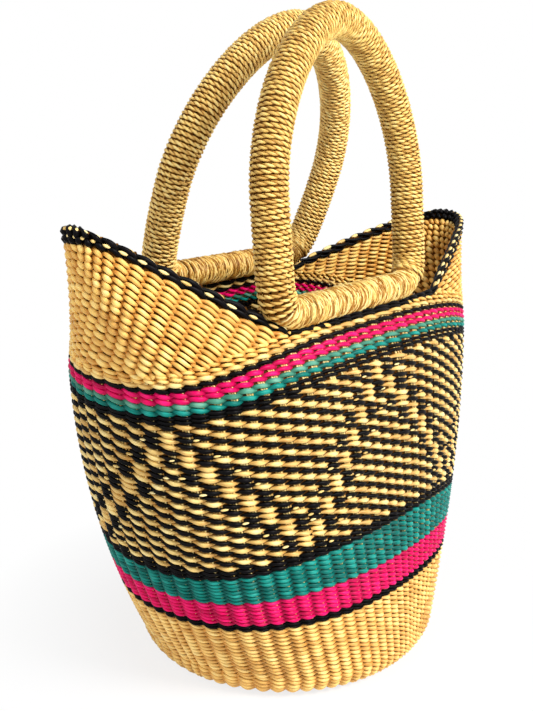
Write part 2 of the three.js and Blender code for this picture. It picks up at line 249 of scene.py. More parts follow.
# Binding straw: how far each layer lies below the top, the turns that its straws take, their drift sideways
# and their spacing. Each straw's own turns, drift, width and tone lie between two values
bound_layers = (
    {"below": 0.0008, "turns": 1.15, "drift": 0.003, "spacing": 0.001},
    {"below": 0.0003, "turns": 0.5, "drift": 0.007, "spacing": 0.0007},
    {"below": 0, "turns": 0.45, "drift": 0.009, "spacing": 0.0009},
)
bound_turn_shares = (0.8, 1.2)
bound_drift_shares = (0.2, 1)
bound_width_shares = (0.75, 1.2)
bound_tones = (-0.3, 1.1)
bound_radius = 0.0101
bound_radius_spread = 0.0002
bound_wave_depth = 0.0007
bound_waves = (3, 7)
bound_half_width = 0.00058
bound_half_depth = 0.0005
bound_tuck = 0.0009
bound_tuck_power = 8
bound_turn_steps = 22
bound_core_inset = 0.0016
# Painted shade: the core under the binding takes a dark tone where it shows between the straws
bound_core_shade_tone = 0.1
bound_core_sides = 16
lashing_gap = 0.0004

# Straw colours by red, green and blue, up to 255: the darkest, the most common and the lightest
base_colours = ((200, 140, 58), (250, 206, 118), (254, 232, 158))
wing_colours = ((196, 130, 48), (250, 206, 112), (255, 234, 160))
pale_colours = ((190, 138, 62), (246, 212, 130), (254, 236, 172))
# Painted light and shade: the two handles are one straw, made lighter or darker to match the light on each
front_handle_shaded_colours = ((170, 116, 40), (240, 202, 112), (254, 232, 158))
rear_handle_lit_colours = ((192, 138, 58), (254, 216, 126), (254, 238, 168))
front_bound_lit_colours = ((176, 122, 44), (242, 206, 116), (254, 232, 160))
rear_bound_shaded_colours = ((160, 108, 36), (226, 182, 92), (248, 216, 136))
# Painted shade: a dark straw for the stakes and cores that show in the gaps between stitches
painted_shade_colours = ((60, 34, 8), (92, 56, 16), (128, 84, 32))
black_colours = ((1, 1, 1), (5, 3, 5), (16, 11, 15))
pink_colours = ((168, 0, 62), (232, 4, 98), (252, 40, 128))
teal_colours = ((0, 74, 68), (4, 128, 116), (50, 172, 158))
grey_green_colours = ((38, 96, 78), (78, 148, 124), (132, 184, 160))

# Straw finishes are roughness and shine. Fibres run along each straw and patches lie over the whole basket
natural_finish = (0.4, 0.3)
dyed_finish = (0.4, 0.15)
black_finish = (0.45, 0.08)
core_finish = (0.8, 0.05)
grain_stretch = (90, 7, 1)
grain_scale = 1
grain_detail = 4
grain_roughness = 0.6
grain_bump_strength = 0.35
grain_bump_depth = 0.0004
patch_scale = 45
patch_detail = 2
patch_share = 0.25
tone_share = 0.45
darkest_share = 0.28
common_share = 0.5
lightest_share = 0.74

# Camera
camera_distance = 0.7414
camera_turn = math.radians(-59.21)
camera_height = 0.4013
look_turn = math.radians(-56.89)
look_down = math.radians(14.24)
camera_roll = math.radians(3.26)
camera_lens = 52.06
camera_sensor = 36

# Floor and light
floor_half_size = 6.0
floor_white = 0.93
floor_roughness = 0.9
shadow_reach = 0.13
shadow_end = 0.25
shadow_glow_share = 0.8
world_strength = 0.34
light_aim_height = 0.2
key_place = (-0.1, -1.5, 1.4)
key_size = 0.7
key_power = 46
fill_place = (-1.3, 0.2, 1.0)
fill_size = 0.9
fill_power = 6

random = np.random.default_rng(random_seed)


def clamp(value):
    return np.clip(value, 0.0, 1.0)


def mix(a, b, share):
    return a + (b - a) * share


def unit(vectors):
    return vectors / np.linalg.norm(vectors, axis=-1, keepdims=True)


# The wall, by the model's own formulas
def wall_point(angle, height, inset=0):
    share = clamp((height - corner_height) / (mouth_level - corner_height))
    belly = 4 * share * (1 - share)
    above = np.maximum(height - mouth_level, 0)
    low = clamp((corner_height - height) / corner_height)
    corner = corner_inset * (1 - np.sqrt(1 - low * low))
    long = mix(base_half_length, mouth_half_length, share) + end_belly * belly + end_flare_share * above
    wide = mix(base_half_width, mouth_half_width, share) + side_belly * belly - side_lean_share * above
    middle = set_back_return_share * above - mouth_set_back * clamp(height / mouth_level)
    power = 2 / mix(base_outline_power, mouth_outline_power, clamp(height / mouth_level))
    along = np.sign(np.cos(angle)) * np.abs(np.cos(angle)) ** power
    across = np.sign(np.sin(angle)) * np.abs(np.sin(angle)) ** power
    x = middle + (long - corner - inset) * along
    y = (wide - corner - inset) * across
    return np.stack([x, y, height + np.zeros_like(x)], axis=-1)


outline_angles = np.linspace(0, 2 * math.pi, outline_samples)
outline_points = wall_point(outline_angles, (corner_height + mouth_level) / 2)
outline_steps = np.linalg.norm(np.diff(outline_points, axis=0), axis=1)
outline_run = np.concatenate([[0], np.cumsum(outline_steps)])


def stake_angle(stake):
    """The angle at a stake: stakes stand at even steps along the wall's middle outline."""
    turns = np.floor(stake / stake_count)
    run = (stake - turns * stake_count) / stake_count * outline_run[-1]
    return turns * 2 * math.pi + np.interp(run, outline_run, outline_angles)


# Lines round the wall: each is a function from an angle to a level
def seam(line):
    def level(angle):
        return line["height"] - line["ends_dip"] * np.cos(2 * angle) - line["far_dip"] * np.cos(angle)

    return level


def lifted(line, rise):
    return lambda angle: line(angle) + rise


def between(low, high, share):
    return lambda angle: mix(low(angle), high(angle), share)


def way_to_tip(angle):
    """Share of the way from where the rim starts to rise to the tip of its end."""
    reach = np.abs(np.cos(angle)) ** (2 / mouth_outline_power)
    start = np.where(np.cos(angle) > 0, far_rise_start_share, near_rise_start_share)
    return clamp((reach - start) / (1 - start))


def rim_height(angle):
    far = np.cos(angle) > 0
    rise = way_to_tip(angle) ** np.where(far, far_rise_power, near_rise_power)
    return rim_side_height + np.where(far, far_tip_rise, near_tip_rise) * rise


def braid_growth(angle):
    """The braid is pressed flat under the bars and stands to its full height at the raised ends."""
    return clamp(way_to_tip(angle) / braid_growth_share)


def braid_foot(angle):
    return rim_height(angle) - mix(braid_side_height, braid_end_height, braid_growth(angle))


# Levels run up the wall's outside: below the corner they follow its round to the floor
corner_run = math.pi / 2 * math.sqrt((corner_height**2 + corner_inset**2) / 2)
floor_level = corner_height - corner_run


def level_height(level):
    round_share = clamp((corner_height - level) / corner_run)
    return np.where(level < corner_height, corner_height * (1 - np.sin(round_share * math.pi / 2)), level)


def wall_frame(stake, level_of):
    """Points of the wall's middle surface on a course, the ways along it, up the wall and out of it, and
    the share of an upright length that is left across a course that climbs."""

    def point(at_stake, lift):
        angle = stake_angle(at_stake)
        level = np.maximum(level_of(angle) + lift, floor_level)
        place = wall_point(angle, level_height(level), middle_inset)
        place[..., 2] += base_rest_height * clamp(1 - place[..., 2] / corner_height)
        return place

    here = point(stake, 0)
    along = unit(point(stake + place_step, 0) - point(stake - place_step, 0))
    upright = unit(point(stake, level_step) - point(stake, -level_step))
    out = unit(np.cross(along, upright))
    up = np.cross(out, along)
    return here, along, up, out, np.sum(upright * up, axis=-1)


# Meshes of tubes, gathered for one piece
class Strands:
    def __init__(self):
        self.points = []
        self.quads = []
        self.uvs = []
        self.tones = []
        self.finishes = []
        self.count = 0

    def tube(self, centres, across, out, half_width, half_depth, tone,
             finish=0, closed=False, sides=strand_sides):
        """A tube of oval section with an even number of sides: across and out are the section's two ways,
        tone and finish its looks."""
        length = len(centres)
        turn = (np.arange(sides) + 0.5) / sides * 2 * math.pi
        half_width = np.broadcast_to(half_width, length)[:, None, None]
        half_depth = np.broadcast_to(half_depth, length)[:, None, None]
        wide = np.cos(turn)[None, :, None] * half_width * across[:, None, :]
        deep = np.sin(turn)[None, :, None] * half_depth * out[:, None, :]
        runs = length if closed else length - 1
        i, j = np.meshgrid(np.arange(runs), np.arange(sides), indexing="ij")
        next_i = (i + 1) % length
        next_j = (j + 1) % sides
        corners = [i * sides + j, i * sides + next_j, next_i * sides + next_j, next_i * sides + j]
        quads = [np.stack(corners, -1)]
        step = np.linalg.norm(np.diff(centres, axis=0), axis=1).mean()
        corner_i = np.stack([i, i, i + 1, i + 1], axis=-1)
        corner_j = np.stack([j, j + 1, j + 1, j], axis=-1)
        uvs = [np.stack([corner_i * step + random.random(), corner_j / sides], axis=-1)]
        finish = np.broadcast_to(finish, length)
        finishes = [np.repeat(finish[:runs], sides)]
        if not closed:
            fan = np.arange(1, sides - 1, 2)
            for ring, flip in ((0, True), (length - 1, False)):
                cap = np.stack([0 * fan, fan, fan + 1, fan + 2], -1) + ring * sides
                quads.append(cap[:, ::-1] if flip else cap)
                uvs.append(np.zeros((len(fan), 4, 2)))
                finishes.append(np.full(len(fan), finish[ring]))
        self.quads.append(np.concatenate([part.reshape(-1, 4) for part in quads]) + self.count)
        self.uvs.append(np.concatenate([part.reshape(-1, 2) for part in uvs]))
        self.points.append((centres[:, None, :] + wide + deep).reshape(-1, 3))
        self.tones.append(np.repeat(np.broadcast_to(tone, length), sides))
        self.finishes.append(np.concatenate(finishes))
        self.count += length * sides

    def piece(self, name, body, materials, *nodes):
        """Makes the mesh, which rides on a body and stands for the model's nodes."""
        points = np.concatenate(self.points)
        quads = np.concatenate(self.quads)
        mesh = bpy.data.meshes.new(name)
        mesh.vertices.add(len(points))
        mesh.vertices.foreach_set("co", points.astype(np.float32).ravel())
        mesh.loops.add(quads.size)
        mesh.loops.foreach_set("vertex_index", quads.astype(np.int32).ravel())
        mesh.polygons.add(len(quads))
        mesh.polygons.foreach_set("loop_start", np.arange(0, quads.size, 4, dtype=np.int32))
        mesh.polygons.foreach_set("material_index", np.concatenate(self.finishes).astype(np.int32))
        mesh.update(calc_edges=True)
        mesh.polygons.foreach_set("use_smooth", np.ones(len(quads), dtype=bool))
        uv_layer = mesh.uv_layers.new(name="strand")
        uv_layer.uv.foreach_set("vector", np.concatenate(self.uvs).astype(np.float32).ravel())
        tone = mesh.attributes.new("tone", "FLOAT", "POINT")
        tone.data.foreach_set("value", np.concatenate(self.tones).astype(np.float32))
        for material in materials:
            mesh.materials.append(material)
        made = bpy.data.objects.new(name, mesh)
        bpy.context.scene.collection.objects.link(made)
        if nodes:
            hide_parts(*nodes)
        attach(made, body)
        return made


# Twining
wall_twining = {
    "strands": wall_strands,
    "float_reach": float_reach,
    "half_thickness": strand_half_thickness,
    "float_half_share": float_half_share,
    "crossing_half_share": crossing_half_share,
    "crossing_rise_share": crossing_rise_share,
    "push_power": push_power,
    "width_power": width_power,
    "stitch_length": stake_step,
}
field_twining = {
    **wall_twining,
    "float_half_share": field_float_half_share,
    "crossing_half_share": field_crossing_half_share,
    "width_power": field_width_power,
}
wing_twining = {
    **wall_twining,
    "float_half_share": wing_float_half_share,
    "crossing_half_share": wing_crossing_half_share,
    "crossing_rise_share": wing_crossing_rise_share,
    "push_power": wing_push_power,
    "width_power": wing_width_power,
    "stitch_length": stake_step / wing_stitches_per_stake,
}
rope_twining = {
    "strands": arch_strands,
    "float_reach": arch_float_reach,
    "half_thickness": arch_strand_half_thickness,
    "float_half_share": arch_float_half_share,
    "crossing_half_share": arch_crossing_half_share,
    "crossing_rise_share": arch_crossing_rise_share,
    "push_power": 1,
    "width_power": 1,
    "stitch_length": 2 * math.pi * wrap_radius / arch_stitches_per_turn,
}


def stitch_noise(half_turns, spread):
    """One random value for each stretch that a strand passes outside or inside."""
    values = random.uniform(-spread, spread, stake_count)
    return values[np.round(half_turns).astype(int) % stake_count]


def twine(strands, stitches, places, pitch, twining, finish_of=None, closed=False, bulk=1.0):
    """One course: its strands wind round each other, so that each in turn passes outside the stakes, sinks,
    and comes back behind them. Places along the course are counted in stitches."""
    here, along, up, out = places
    waves = stitches / stake_count * 2 * math.pi * course_waves
    drift = course_drift_share * pitch * np.sin(waves + random.uniform(0, 2 * math.pi))
    rise = twining["crossing_rise_share"] * pitch
    phase_per_stitch = 2 * math.pi / twining["strands"]
    for start in range(twining["strands"]):
        phase = (stitches - start) * phase_per_stitch
        outward = np.cos(phase + push_lead)
        half_turns = (phase + push_lead) / math.pi
        reach = np.abs(outward)
        lift = stitch_noise(half_turns, stitch_lift_spread) * pitch * reach - rise * np.sin(phase)
        push = twining["float_reach"] * np.sign(outward) * reach ** twining["push_power"] * bulk
        centres = here + out * push[:, None] + up * (lift + drift)[:, None]
        fullness = reach ** twining["width_power"]
        float_half_share = twining["float_half_share"] * (1 + stitch_noise(half_turns, stitch_width_spread))
        half_share = mix(twining["crossing_half_share"], float_half_share, fullness)
        half_depth = twining["half_thickness"] * bulk * mix(crossing_thickness_share, 1, reach)
        slant = rise * phase_per_stitch / twining["stitch_length"] * np.cos(phase)
        across = unit(up + along * slant[:, None])
        own_tone = middle_tone + stitch_noise(half_turns, stitch_tone_spread)
        # Painted shade: the tone darkens towards each crossing, where the strand sinks inside
        tone = own_tone * mix(crossing_shade_share, 1, reach)
        finish = 0 if finish_of is None else finish_of(stitches, start)
        strands.tube(centres, across, out, pitch * half_share, half_depth, tone, finish, closed)


def twined_row(strands, level_of, pitch_of, twining=wall_twining, finish_of=None, bulk_of=None):
    """One course of the wall, all round."""
    stakes = np.arange(stake_count * steps_per_stake) / steps_per_stake
    *places, square = wall_frame(stakes, level_of)
    pitch = pitch_of(stake_angle(stakes)) * square
    bulk = bulk_of(stake_angle(stakes)) if bulk_of else 1.0
    twine(strands, stakes, places, pitch, twining, finish_of, True, bulk)


# Short straws: ends that are folded over the rim or come out beside a stitch
folded_end = {
    "proud": folded_end_proud,
    "half_length": folded_end_half_length,
    "half_width": folded_end_half_width,
    "half_depth": folded_end_half_depth,
}
tucked_end = {
    "proud": tucked_end_proud,
    "half_length": tucked_end_half_length,
    "half_width": tucked_end_half_width,
    "half_depth": tucked_end_half_depth,
}
tuft = {
    "proud": tuft_proud,
    "half_length": tuft_half_length,
    "half_width": tuft_half_width,
    "half_depth": tuft_half_depth,
}


def short_straw(strands, stake, level_of, end):
    """A short straw on the wall, pointed at both ends."""
    way = np.linspace(-1, 1, short_straw_steps)
    shape = np.sqrt(1 - short_straw_taper_share * way * way)
    length = end["half_length"] * random.uniform(*short_straw_lengths)
    here, along, up, out, square = wall_frame(stake + way * length, level_of)
    half_width = end["half_width"] * shape
    half_depth = end["half_depth"] * shape
    tone = random.uniform(*short_straw_tones)
    strands.tube(here + out * end["proud"], up, out, half_width, half_depth, tone)


# Materials
def linear(red, green, blue):
    """A screen colour in the linear values that a shader takes."""

    def one(value):
        value = value / 255
        return value / 12.92 if value <= 0.04045 else ((value + 0.055) / 1.055) ** 2.4

    return (one(red), one(green), one(blue), 1)


def add_node(tree, kind, values=None):
    """A shader node with some of its inputs set."""
    node = tree.nodes.new("ShaderNode" + kind)
    for socket, value in (values or {}).items():
        node.inputs[socket].default_value = value
    return node


def straw_material(name, colours, finish=natural_finish):
    """Dried straw: each stitch has its own tone, which also carries painted shade where strands sink
    inside, with fibres along it and slow patches over the basket.
    """
    material = bpy.data.materials.new(name)
    material.use_nodes = True
    tree = material.node_tree
    shader = tree.nodes["Principled BSDF"]
    roughness, shine = finish
    shader.inputs["Roughness"].default_value = roughness
    shader.inputs["Specular IOR Level"].default_value = shine
    uv = add_node(tree, "UVMap")
    uv.uv_map = "strand"
    stretch = add_node(tree, "Mapping", {"Scale": grain_stretch})
    grain = add_node(tree, "TexNoise", {
        "Scale": grain_scale,
        "Detail": grain_detail,
        "Roughness": grain_roughness,
    })
    place = add_node(tree, "TexCoord")
    patches = add_node(tree, "TexNoise", {"Scale": patch_scale, "Detail": patch_detail})
    tone = add_node(tree, "Attribute")
    tone.attribute_name = "tone"
    tree.links.new(uv.outputs["UV"], stretch.inputs["Vector"])
    tree.links.new(stretch.outputs["Vector"], grain.inputs["Vector"])
    tree.links.new(place.outputs["Object"], patches.inputs["Vector"])

    def blended(first, second, share):
        node = add_node(tree, "Mix", {"Factor": share})
        node.data_type = "FLOAT"
        tree.links.new(first, node.inputs["A"])
        tree.links.new(second, node.inputs["B"])
        return node.outputs["Result"]

    texture = blended(grain.outputs["Fac"], patches.outputs["Fac"], patch_share)
    amount = blended(texture, tone.outputs["Fac"], tone_share)
    ramp = add_node(tree, "ValToRGB")
    dark, middle, light = colours
    ramp.color_ramp.elements[0].position = darkest_share
    ramp.color_ramp.elements[0].color = linear(*dark)
    ramp.color_ramp.elements[1].position = lightest_share
    ramp.color_ramp.elements[1].color = linear(*light)
    half = ramp.color_ramp.elements.new(common_share)
    half.color = linear(*middle)
    tree.links.new(amount, ramp.inputs["Fac"])
    tree.links.new(ramp.outputs["Color"], shader.inputs["Base Color"])
    bump = add_node(tree, "Bump", {"Strength": grain_bump_strength, "Distance": grain_bump_depth})
    tree.links.new(grain.outputs["Fac"], bump.inputs["Height"])
    tree.links.new(bump.outputs["Normal"], shader.inputs["Normal"])
    return material


base_straw = straw_material("base_straw", base_colours)
wing_straw = straw_material("wing_straw", wing_colours)
pale_straw = straw_material("pale_straw", pale_colours)
front_handle_straw = straw_material("front_handle_straw", front_handle_shaded_colours)
rear_handle_straw = straw_material("rear_handle_straw", rear_handle_lit_colours)
front_bound_straw = straw_material("front_bound_straw", front_bound_lit_colours)
rear_bound_straw = straw_material("rear_bound_straw", rear_bound_shaded_colours)
core_straw = straw_material("core_straw", painted_shade_colours, core_finish)
black_straw = straw_material("black_straw", black_colours, black_finish)
pink_straw = straw_material("pink_straw", pink_colours, dyed_finish)
teal_straw = straw_material("teal_straw", teal_colours, dyed_finish)
grey_green_straw = straw_material("grey_green_straw", grey_green_colours, dyed_finish)


# Bands: all courses between two seams, in pieces of a few courses
def twined_band(name, foot, top, rows, materials, nodes=(), fullness=1.0, twining=wall_twining,
                finish_of_row=None):
    def pitch_of(angle):
        return (top(angle) - foot(angle)) / rows * fullness

    for first_row in range(0, rows, rows_per_piece):
        strands = Strands()
        for row in range(first_row, min(first_row + rows_per_piece, rows)):
            finish_of = finish_of_row(row) if finish_of_row else None
            twined_row(strands, between(foot, top, (row + 0.5) / rows), pitch_of, twining, finish_of)
        suffix = f"_{first_row // rows_per_piece + 1}" if rows > rows_per_piece else ""
        strands.piece(name + suffix, "basket", materials, *(nodes if first_row == 0 else ()))


def zigzag(stake):
    """The row of the zigzag line at a stake, counted down the field, and the side of its nearest peak."""
    half_round = stake_count / 2
    offsets = [np.mod(stake - peak + half_round, stake_count) - half_round for peak in peak_stakes]
    offsets = np.array(offsets)
    nearest = np.argmin(np.abs(offsets), axis=0)
    offset = np.take_along_axis(offsets, nearest[None], axis=0)[0]
    first_row = 1 + np.mod(np.array(peak_stakes)[nearest], 2)
    return first_row + peak_rows_per_stake * np.abs(offset), np.sign(offset)


def field_colour(stake, row):
    """Natural (0) or black (1). They change places from stitch to stitch and from course to course, so that
    they join into slanting stripes. On the zigzag lines three natural stitches stack up, and three black
    ones above and below them."""
    down = field_rows - 1 - row
    colour = np.mod(stake + down, 2)
    from_line = down - zigzag(stake)[0]
    return np.where(from_line == 0, 0, np.where(np.abs(from_line) == tuft_rows, 1, colour))


def field_finish(row):
    def finish(stakes, start):
        place = stakes + push_lead / math.pi
        outer_stake = start + 2 * np.round((place - start) / 2)
        outer = field_colour(outer_stake, row)
        inner = 1 - field_colour(np.round(place), row)
        return np.where(np.abs(place - outer_stake) < stitch_half_length, outer, inner)

    return finish


def field_tufts(foot, top):
    """Natural straw comes out beside the black stacks."""
    strands = Strands()
    for stake in range(stake_count):
        line_row, side = zigzag(np.array(stake))
        for end in (-1, 1):
            down = line_row + end * tuft_rows
            if 0 <= down < field_rows:
                share = 1 - (down + 0.5) / field_rows
                short_straw(strands, stake - end * side * tuft_shift, between(foot, top, share), tuft)
    strands.piece("field_tufts", "basket", [pale_straw])


def floor_line(angle):
    return floor_level + 0 * angle


line_foot = seam(base_top)
line_top = lifted(line_foot, thin_line_height)
border_foot = seam(teal_top)
border_top = lifted(border_foot, lower_border_height)
upper_border_foot = lifted(seam(field_top), -upper_border_height)
upper_teal_top = between(seam(field_top), seam(bands_top), upper_teal_share)
upper_teal_middle = between(seam(field_top), upper_teal_top, 0.5)
upper_pink_top = between(seam(field_top), seam(bands_top), upper_pink_share)
course_top = lifted(seam(bands_top), course_height)

twined_band("base_courses", floor_line, line_foot, base_rows, [base_straw], ["base_wall"],
            fullness=base_fullness)
twined_band("lower_black_line_courses", line_foot, line_top, thin_line_rows, [black_straw],
            ["lower_black_line"])
twined_band("lower_pink_courses", line_top, seam(pink_top), lower_pink_rows, [pink_straw],
            ["lower_pink_band"])
twined_band("lower_teal_courses", seam(pink_top), seam(teal_top), lower_teal_rows, [teal_straw],
            ["lower_teal_band"])
twined_band("lower_border_courses", border_foot, border_top, border_rows, [black_straw],
            ["lower_black_border"])
twined_band("field_courses", border_top, upper_border_foot, field_rows, [pale_straw, black_straw],
            ["pattern_field"], twining=field_twining, finish_of_row=field_finish)
field_tufts(border_top, upper_border_foot)
twined_band("upper_border_courses", upper_border_foot, seam(field_top), border_rows, [black_straw],
            ["upper_black_border"], fullness=upper_fullness)
twined_band("upper_teal_course", seam(field_top), upper_teal_middle, 1, [teal_straw], ["upper_teal_band"],
            fullness=upper_fullness)
twined_band("upper_green_course", upper_teal_middle, upper_teal_top, 1, [grey_green_straw],
            fullness=upper_fullness)
twined_band("upper_pink_courses", upper_teal_top, upper_pink_top, upper_band_rows, [pink_straw],
            ["upper_pink_band"], fullness=upper_fullness)
twined_band("upper_black_line_course", upper_pink_top, seam(bands_top), 1, [black_straw],
            ["upper_black_line"], fullness=upper_fullness)
twined_band("natural_course_row", seam(bands_top), course_top, 1, [pale_straw], ["natural_course"],
            fullness=upper_fullness)


# Raised ends: courses hang below the braid and stop where they meet the courses of the foot
def wing_row(strands, middle, level_of, lowest_of, pitch, shift):
    """One course round a raised end, as far as it stays above a line."""
    stakes = np.arange(0, stake_count / 4, 1 / steps_per_stake)
    angle = stake_angle(middle + stakes)
    room = level_of(angle) - lowest_of(angle) > wing_room_share * pitch
    reach = np.argmin(room)
    if reach == 0:
        return False
    way = np.arange(-reach, reach + 1) / steps_per_stake
    *places, square = wall_frame(middle + way, level_of)
    twine(strands, way * wing_stitches_per_stake + shift, places, pitch * square, wing_twining)
    return True


def wing(name, node, middle):
    strands = Strands()
    foot_top = lifted(course_top, wing_foot_rows * wing_foot_pitch)
    row = 0
    while wing_row(strands, middle, lifted(braid_foot, -(row + 0.5) * wing_pitch), foot_top, wing_pitch,
                   row * wing_stitch_shift):
        row += 1
    for foot_row in range(wing_foot_rows):
        rise = (foot_row + 0.5) * wing_foot_pitch

        def under_braid(angle, rise=rise):
            return course_top(angle) + rise + np.maximum(course_top(angle) + rise - braid_foot(angle), 0)

        wing_row(strands, middle, lifted(course_top, rise), under_braid, wing_foot_pitch, 0)
    strands.piece(name, "basket", [wing_straw], node)


wing("near_wing_rows", "near_wing", stake_count // 2)
wing("far_wing_rows", "far_wing", stake_count)


# Stakes: dark flat straws, a painted shade, close the wall behind the stitches, and pale ones are seen as
# small strokes between the courses
def stake_row(name, foot, top, spacing, half_width, half_depth, material):
    strands = Strands()
    for stake in range(stake_count):
        angle = stake_angle(np.array([float(stake)]))
        levels = np.linspace(foot(angle)[0], top(angle)[0], stake_levels)
        for straw in range(stake_straws):
            place = np.full(stake_levels, stake + (straw - (stake_straws - 1) / 2) * spacing)
            here, along, up, out, square = wall_frame(place, lambda angle, levels=levels: levels)
            tone = random.uniform(*stake_tones)
            strands.tube(here, -along, out, half_width, half_depth, tone, sides=stake_sides)
    strands.piece(name, "basket", [material])


def stake_top(angle):
    return rim_height(angle) - mix(stake_side_inset, stake_wing_inset, braid_growth(angle))


stake_row("flat_stakes", floor_line, stake_top, 1 / stake_straws,
          flat_straw_half_width, flat_straw_half_depth, core_straw)
stake_row("pale_stakes", line_foot, course_top, pale_straw_spacing,
          pale_straw_half_width, pale_straw_half_depth, pale_straw)


# Rim braid: two black courses, with the stake ends folded over its top and tucked in between them
def braid_row(name, node, share):
    strands = Strands()

    def pitch_of(angle):
        return np.maximum((rim_height(angle) - braid_foot(angle)) / 2 * braid_fullness, braid_least_pitch)

    def bulk_of(angle):
        return mix(braid_side_bulk, braid_bulk, braid_growth(angle))

    twined_row(strands, between(braid_foot, rim_height, share), pitch_of, bulk_of=bulk_of)
    strands.piece(name, "basket", [black_straw], node)


def folded_ends(name, level_of, shift, end):
    """Stake ends along the braid, which show where no bar lies on it."""
    strands = Strands()
    for place in np.arange(stake_count) + shift:
        if braid_growth(stake_angle(np.array([place])))[0] > 0:
            short_straw(strands, place, level_of, end)
    strands.piece(name, "basket", [pale_straw])


braid_row("rim_lower_braid_rows", "rim_lower_braid", braid_lower_share)
braid_row("rim_upper_braid_rows", "rim_upper_braid", braid_upper_share)
folded_ends("rim_folded_ends", lifted(rim_height, -folded_end_drop), 0, folded_end)
folded_ends("rim_tucked_ends", between(braid_foot, rim_height, 0.5), 0.5, tucked_end)


# Floor: courses round and round, over fewer stakes towards the middle
def floor_frame(share, turn):
    """Points on the floor at a share of the way from its middle to its edge, with the ways round it and
    down."""
    long = base_half_length - corner_inset - middle_inset
    wide = base_half_width - corner_inset - middle_inset
    level = float_reach + strand_half_thickness
    here = np.stack([long * share * np.cos(turn), wide * share * np.sin(turn), level + 0 * turn], -1)
    along = unit(np.stack([-long * np.sin(turn), wide * np.cos(turn), 0 * turn], -1))
    down = np.tile([0.0, 0.0, -1.0], (len(here), 1))
    return here, along, down


def floor_courses():
    strands = Strands()
    rows = int((base_half_width - corner_inset - middle_inset) / floor_pitch)
    for row in range(rows):
        share = 1 - (row + 0.5) / rows
        around = stake_count // 2 ** sum(share < limit for limit in floor_halving_shares)
        stakes = np.arange(around * steps_per_stake) / steps_per_stake
        turn = stakes / around * 2 * math.pi
        here, along, down = floor_frame(share, turn)
        pitch = floor_pitch * floor_fullness + 0 * turn
        twine(strands, stakes, (here, along, np.cross(down, along), down), pitch, wall_twining, closed=True)
    strands.piece("floor_courses", "basket", [base_straw], "base_floor")


def floor_stakes():
    """Flat stakes between the floor's courses, dark as painted shade. Every second one stops where their
    stitches are halved."""
    strands = Strands()
    for stake in range(stake_count):
        stops = [limit for halving, limit in enumerate(floor_halving_shares) if stake % 2 ** (halving + 1)]
        share = np.linspace(max(stops, default=0), 1, 2)
        here, along, down = floor_frame(share, np.full(len(share), stake / stake_count * 2 * math.pi))
        strands.tube(here, -along, down, floor_stake_half_width, flat_straw_half_depth, middle_tone,
                     sides=stake_sides)
    strands.piece("floor_stakes", "basket", [core_straw])


floor_courses()
floor_stakes()


# Handles: x along the bar, z up the loop, turned and set in place by the handle's own lean
def leg_offset(half_width, height):
    below = (shoulder_height - height) / shoulder_height
    above = clamp((height - shoulder_height) / (arch_height - shoulder_height))
    return np.where(
        height < shoulder_height,
        half_width - (half_width - bar_half_length) * below * below,
        half_width * (1 - above**arch_power) ** (1 / arch_power))


def hoop_route(half_width):
    """The middle line of half a handle, from the middle of the bar to the top of the loop."""
    bar_end = bar_half_length - bend_reach
    bar = np.linspace(0, bar_end, bar_steps)[:-1]
    share = np.linspace(0, 1, bend_steps)
    leg_foot = leg_offset(half_width, np.array(bend_reach))
    bend_x = (1 - share) ** 2 * bar_end + 2 * share * (1 - share) * bar_half_length + share**2 * leg_foot
    bend_z = share**2 * bend_reach
    leg_z = np.linspace(bend_reach, shoulder_height, leg_steps)[1:]
    crown_z = mix(shoulder_height, arch_height, np.sin(np.linspace(0, math.pi / 2, crown_steps)[1:]))
    crown_z[-1] = arch_height
    x = np.concatenate([bar, bend_x, leg_offset(half_width, leg_z), leg_offset(half_width, crown_z)])
    z = np.concatenate([0 * bar, bend_z, leg_z, crown_z])
    return x, z


class Handle:
    def __init__(self, name, side, x, lean, bed, half_width, straw, bound_straw):
        self.name = name
        self.origin = np.array([x, side * handle_y, rim_side_height + coil_reach + piece_gap - bed])
        self.turn = side * lean
        self.straw = straw
        self.bound_straw = bound_straw
        half_x, half_z = hoop_route(half_width)
        self.route_x = np.concatenate([half_x, -half_x[::-1][1:]])
        self.route_z = np.concatenate([half_z, half_z[::-1][1:]])
        steps = np.hypot(np.diff(self.route_x), np.diff(self.route_z))
        self.run = np.concatenate([[0], np.cumsum(steps)])
        risen = half_z > 0
        ends = np.interp([wrap_start_rise, binding_end_rise], half_z[risen], self.run[:len(half_z)][risen])
        self.wrap_start, self.binding_end = ends

    def frames(self, distance):
        """Points on the middle line, with the ways along it, across it in the loop's plane and out of
        that plane."""

        def flat(at):
            at = np.mod(at, self.run[-1])
            x = np.interp(at, self.run, self.route_x)
            z = np.interp(at, self.run, self.route_z)
            return np.stack([x, 0 * x, z], -1)

        here = flat(distance)
        along = unit(flat(distance + frame_step) - flat(distance - frame_step))
        side = np.tile([0.0, 1.0, 0.0], (len(here), 1))
        normal = np.cross(side, along)
        return self.turned(here) + self.origin, self.turned(along), self.turned(normal), self.turned(side)

    def turned(self, vectors):
        cosine, sine = math.cos(self.turn), math.sin(self.turn)
        x, y, z = vectors[..., 0], vectors[..., 1], vectors[..., 2]
        return np.stack([x, y * cosine - z * sine, y * sine + z * cosine], -1)


